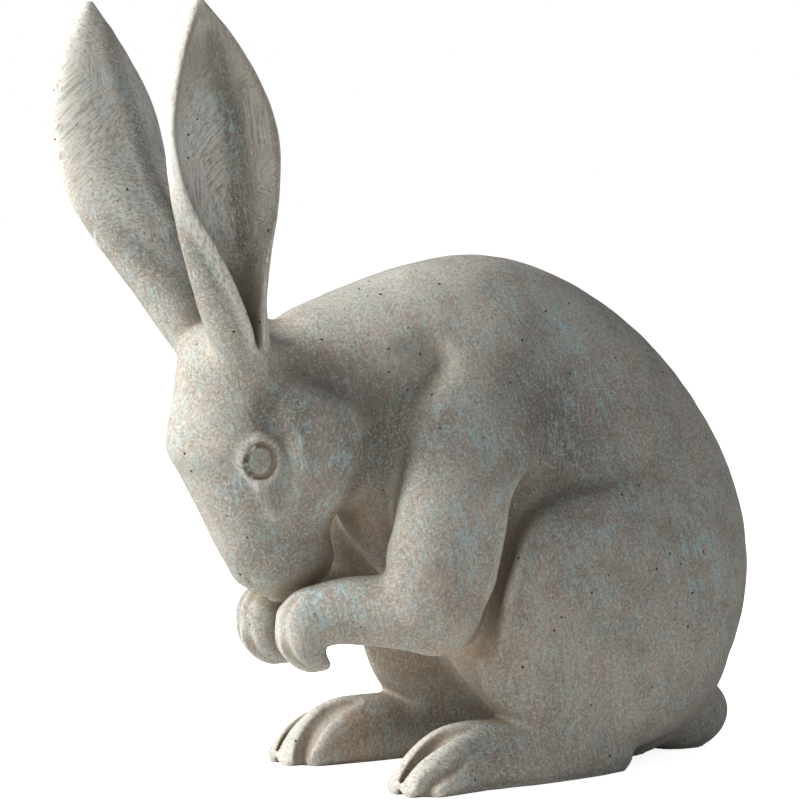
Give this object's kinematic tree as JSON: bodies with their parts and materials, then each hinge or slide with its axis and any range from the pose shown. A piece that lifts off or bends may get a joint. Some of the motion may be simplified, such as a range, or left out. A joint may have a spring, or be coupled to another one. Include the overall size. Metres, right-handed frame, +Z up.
{
  "type": "garden figurine",
  "caption": "Crouching rabbit figurine in cast stone, its head bowed over its raised paws, with tall upright ears, standing on its feet, rump and tail.",
  "frame": {"origin": "middle of the box round the figure, on the plane that it rests on", "axes": "+Z up, the rabbit faces -Y and its left side is +X"},
  "size_m": [0.1805, 0.44, 0.4601],
  "materials": {
    "cast_stone": "matte"
  },
  "bodies": {
    "root": {"rabbit": "cast_stone"}
  },
  "joints": []
}
